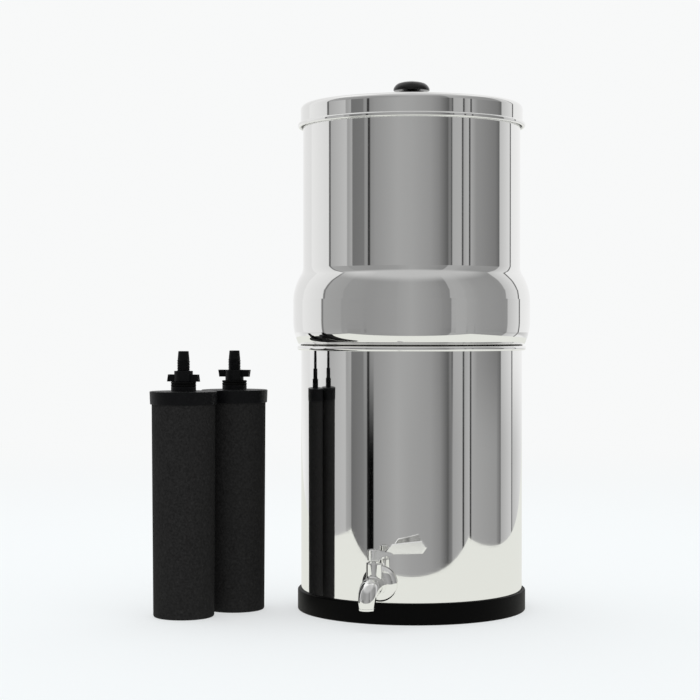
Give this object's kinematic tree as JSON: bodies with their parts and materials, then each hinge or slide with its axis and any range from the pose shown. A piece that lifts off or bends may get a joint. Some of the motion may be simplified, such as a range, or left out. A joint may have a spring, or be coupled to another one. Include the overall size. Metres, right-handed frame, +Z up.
{
  "type": "gravity water filter",
  "caption": "Stacked steel chambers with a black base ring, knobbed lid and lever ball tap; carbon filter elements with threaded stems stand beside.",
  "frame": {"origin": "on the vessel's axis, at floor level, in the plane of the base ring's underside", "axes": "+Z up along the vessel's axis; the tap points along -Y; with the tap closed its lever points along +X"},
  "size_m": [0.3405, 0.2761, 0.516],
  "materials": {
    "mirror_steel": "mirror-polished stainless steel sheet",
    "fastener_steel": "plain stainless steel",
    "tap_chrome": "polished chrome plate",
    "valve_steel": "ground and polished stainless steel",
    "base_rubber": "smooth satin black",
    "silicone": "matt black",
    "seat_ptfe": "white, waxy",
    "knob_plastic": "glossy black",
    "insert_brass": "turned brass",
    "carbon": "pressed carbon, fine grain",
    "black_plastic": "moulded, satin black"
  },
  "bodies": {
    "base": {"base_ring": "base_rubber", "lower_chamber_wall": "mirror_steel", "lower_chamber_floor": "mirror_steel", "tap_flange": "tap_chrome", "tap_outer_washer": "silicone", "tap_inner_washer": "silicone", "tap_nut": "tap_chrome", "tap_body": "tap_chrome", "tap_spout": "tap_chrome", "ball_seat_rear": "seat_ptfe", "ball_seat_front": "seat_ptfe", "stem_packing": "seat_ptfe", "gland_nut": "tap_chrome"},
    "lever_and_ball": {"tap_lever": "tap_chrome", "valve_stem": "valve_steel", "valve_ball": "valve_steel", "lever_screw": "fastener_steel"},
    "upper_chamber": {"upper_chamber_wall": "mirror_steel", "upper_chamber_floor": "mirror_steel", "blanking_plugs": "black_plastic", "blanking_washers": "silicone", "blanking_nuts": "black_plastic"},
    "lid_and_knob": {"lid": "mirror_steel", "lid_knob": "knob_plastic", "knob_insert": "insert_brass", "knob_screw": "fastener_steel", "knob_washer": "fastener_steel"},
    "filter_1": {"carbon_block_1": "carbon", "filter_cap_1": "black_plastic", "stem_washer_1": "silicone"},
    "filter_2": {"carbon_block_2": "carbon", "filter_cap_2": "black_plastic", "stem_washer_2": "silicone"},
    "filter_1_nut": {"wing_nut_1": "black_plastic"},
    "filter_2_nut": {"wing_nut_2": "black_plastic"}
  },
  "joints": [
    {"name": "tap_turn", "type": "hinge", "parent": "base", "child": "lever_and_ball", "pos_m": [0, -0.128, 0.038], "axis": [0, 0, -1], "range_deg": [0, 90]},
    {"name": "upper_lift", "type": "slide", "parent": "base", "child": "upper_chamber", "axis": [0, 0, 1], "range_m": [0, 0.12]},
    {"name": "lid_lift", "type": "slide", "parent": "upper_chamber", "child": "lid_and_knob", "axis": [0, 0, 1], "range_m": [0, 0.08]},
    {"name": "filter_1_lift", "type": "slide", "parent": "base", "child": "filter_1", "axis": [0, 0, 1], "range_m": [0, 0.06]},
    {"name": "filter_2_lift", "type": "slide", "parent": "base", "child": "filter_2", "axis": [0, 0, 1], "range_m": [0, 0.06]},
    {"name": "wing_nut_1_turn", "type": "hinge", "parent": "filter_1", "child": "filter_1_nut", "pos_m": [-0.19241, -0.11696, 0.2286], "axis": [0, 0, 1], "continuous": true},
    {"name": "wing_nut_2_turn", "type": "hinge", "parent": "filter_2", "child": "filter_2_nut", "pos_m": [-0.16286, -0.05895, 0.2286], "axis": [0, 0, 1], "continuous": true}
  ]
}
